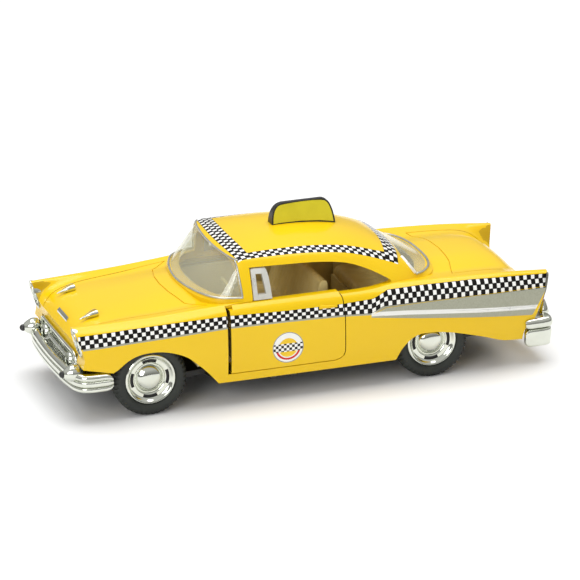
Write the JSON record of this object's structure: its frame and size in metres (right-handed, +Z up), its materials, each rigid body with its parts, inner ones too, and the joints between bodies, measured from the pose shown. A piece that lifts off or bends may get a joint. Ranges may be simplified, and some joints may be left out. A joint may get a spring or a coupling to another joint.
{
  "type": "friction toy taxi car",
  "caption": "Small die-cast toy taxi with hinged doors, clear glazing, plated bumpers, rubber tyres, a roof sign and a flywheel motor geared to its rear axle.",
  "frame": {"origin": "on the ground under the middle of the car's length and width", "axes": "nose toward -X, left side toward -Y, +Z up"},
  "size_m": [0.1276, 0.0466, 0.0432],
  "materials": {
    "yellow_paint": "gloss enamel on die-cast zinc",
    "silver_trim": "silver paint",
    "clear": "clear moulded plastic",
    "tan_plastic": "moulded",
    "cream_plastic": "moulded",
    "black_plastic": "moulded",
    "plated": "vacuum-plated plastic",
    "lens": "clear moulded plastic",
    "red_lamp": "moulded",
    "sign_yellow": "printed panel",
    "steel": "turned",
    "brass": "turned",
    "nylon": "moulded gear",
    "rubber": "moulded rubber"
  },
  "bodies": {
    "body": {"body_shell": "yellow_paint", "glazing": "clear", "interior_tub": "tan_plastic", "steering_wheel": "cream_plastic", "chassis_plate": "black_plastic", "grille": "plated", "front_bumper": "plated", "bullet_tips": "black_plastic", "headlight_bezels": "plated", "headlight_lens_left": "lens", "headlight_lens_right": "lens", "rear_bumper": "plated", "bumper_guards": "plated", "tail_lamp_left": "red_lamp", "tail_lamp_right": "red_lamp", "bonnet_ornaments": "plated", "nose_bar": "plated", "sign_housing": "black_plastic", "sign_faces": "sign_yellow", "chassis_screws": "steel", "motor_case_left": "black_plastic", "motor_case_right": "black_plastic", "motor_middle_plate": "steel", "motor_rivets": "steel", "motor_screws": "steel", "idler_pin": "steel"},
    "door_left": {"door_left": "yellow_paint", "quarter_frame_left": "silver_trim"},
    "door_right": {"door_right": "yellow_paint", "quarter_frame_right": "silver_trim"},
    "front_wheels": {"front_axle": "steel", "rim_front_left": "plated", "rim_front_right": "plated", "tyre_front_left": "rubber", "tyre_front_right": "rubber"},
    "rear_wheels": {"rear_axle": "steel", "axle_gear": "nylon", "rim_rear_left": "plated", "rim_rear_right": "plated", "tyre_rear_left": "rubber", "tyre_rear_right": "rubber"},
    "idler": {"idler_gear": "nylon"},
    "flywheel": {"flywheel_shaft": "brass", "flywheel": "brass"}
  },
  "joints": [
    {"name": "door_left_hinge", "type": "hinge", "parent": "body", "child": "door_left", "pos_m": [-0.0204, -0.02115, 0.015], "axis": [0, 0, -1], "range_deg": [0, 62]},
    {"name": "door_right_hinge", "type": "hinge", "parent": "body", "child": "door_right", "pos_m": [-0.0204, 0.02115, 0.015], "axis": [0, 0, 1], "range_deg": [0, 62]},
    {"name": "front_wheels_spin", "type": "hinge", "parent": "body", "child": "front_wheels", "pos_m": [-0.0416, 0, 0.0093], "axis": [0, 1, 0], "continuous": true},
    {"name": "rear_wheels_spin", "type": "hinge", "parent": "body", "child": "rear_wheels", "pos_m": [0.0314, 0, 0.0093], "axis": [0, 1, 0], "continuous": true},
    {"name": "idler_spin", "type": "hinge", "parent": "body", "child": "idler", "pos_m": [0.03684, 0, 0.01062], "axis": [0, 1, 0], "continuous": true},
    {"name": "flywheel_spin", "type": "hinge", "parent": "body", "child": "flywheel", "pos_m": [0.04229, 0, 0.01193], "axis": [0, 1, 0], "continuous": true}
  ],
  "couplings": [
    {"joint": "idler_spin", "follows": "rear_wheels_spin", "ratio": -2.5},
    {"joint": "flywheel_spin", "follows": "rear_wheels_spin", "ratio": 6.25}
  ]
}
